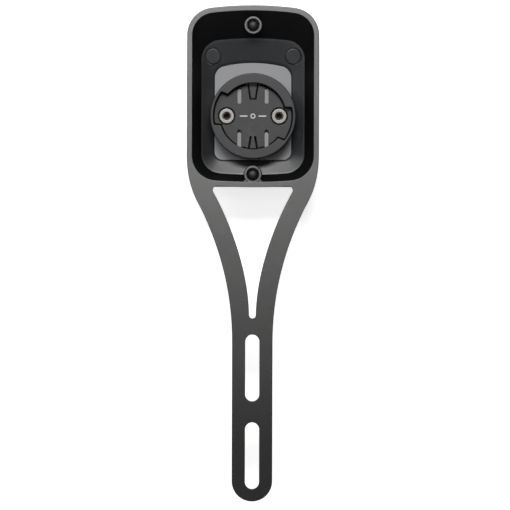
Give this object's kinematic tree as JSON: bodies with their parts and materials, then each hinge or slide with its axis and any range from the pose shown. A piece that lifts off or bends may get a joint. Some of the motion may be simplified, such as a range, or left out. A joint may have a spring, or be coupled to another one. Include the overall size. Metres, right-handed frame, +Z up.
{
  "type": "cycling computer mount",
  "caption": "Flat forked bracket with a slotted tang that carries a deep tray, in which a quarter-turn socket for a cycling computer stands on a spring-loaded lifting stage.",
  "frame": {"origin": "centre of the tang's clamping pad, on its underside, midway between the two slots", "axes": "+Y along the tang towards the tray and the front of the bicycle, +Z up out of the tray towards the computer, +X to the rider's right"},
  "size_m": [0.0508, 0.1911, 0.027],
  "materials": {
    "anodised_aluminium": "bead blasted and black anodised",
    "black_plastic": "satin moulded, glass filled",
    "panel_plastic": "satin, dark grey",
    "receiver_plastic": "fine textured, black",
    "stainless": "turned stainless steel",
    "black_screw": "black oxide",
    "brass": "knurled",
    "bronze": "sintered, oil filled",
    "spring_wire": "drawn spring wire",
    "rubber": "moulded"
  },
  "bodies": {
    "mount": {"bracket": "anodised_aluminium", "tray": "black_plastic", "bottom_cover": "black_plastic", "front_boss_screw": "black_screw", "rear_boss_screw": "black_screw", "front_brass_insert": "brass", "rear_brass_insert": "brass", "left_cover_screw": "black_screw", "right_cover_screw": "black_screw", "rear_cover_screw": "black_screw", "left_spring": "spring_wire", "right_spring": "spring_wire", "left_guide_bush": "bronze", "right_guide_bush": "bronze"},
    "stage": {"stage_plate": "panel_plastic", "receiver": "receiver_plastic", "left_receiver_screw": "stainless", "right_receiver_screw": "stainless", "left_guide_sleeve": "stainless", "right_guide_sleeve": "stainless", "lift_bar": "anodised_aluminium", "push_pad": "rubber", "left_lock_nut": "stainless", "right_lock_nut": "stainless"},
    "front_tongue": {"front_detent_tongue": "receiver_plastic"},
    "rear_tongue": {"rear_detent_tongue": "receiver_plastic"}
  },
  "joints": [
    {"name": "stage_lift", "type": "slide", "parent": "mount", "child": "stage", "axis": [0, 0, 1], "range_m": [0, 0.005], "stiffness_N_per_m": 300, "springref_m": -0.006, "deforming": ["left_spring", "right_spring"]},
    {"name": "front_tongue_flex", "type": "hinge", "parent": "stage", "child": "front_tongue", "pos_m": [0, 0.1276, -0.00302], "axis": [1, 0, 0], "range_deg": [0, 6], "stiffness_Nm_per_rad": 0.05, "springref_deg": -2.86},
    {"name": "rear_tongue_flex", "type": "hinge", "parent": "stage", "child": "rear_tongue", "pos_m": [0, 0.1063, -0.00302], "axis": [1, 0, 0], "range_deg": [0, 6], "stiffness_Nm_per_rad": 0.05, "springref_deg": -2.86}
  ]
}
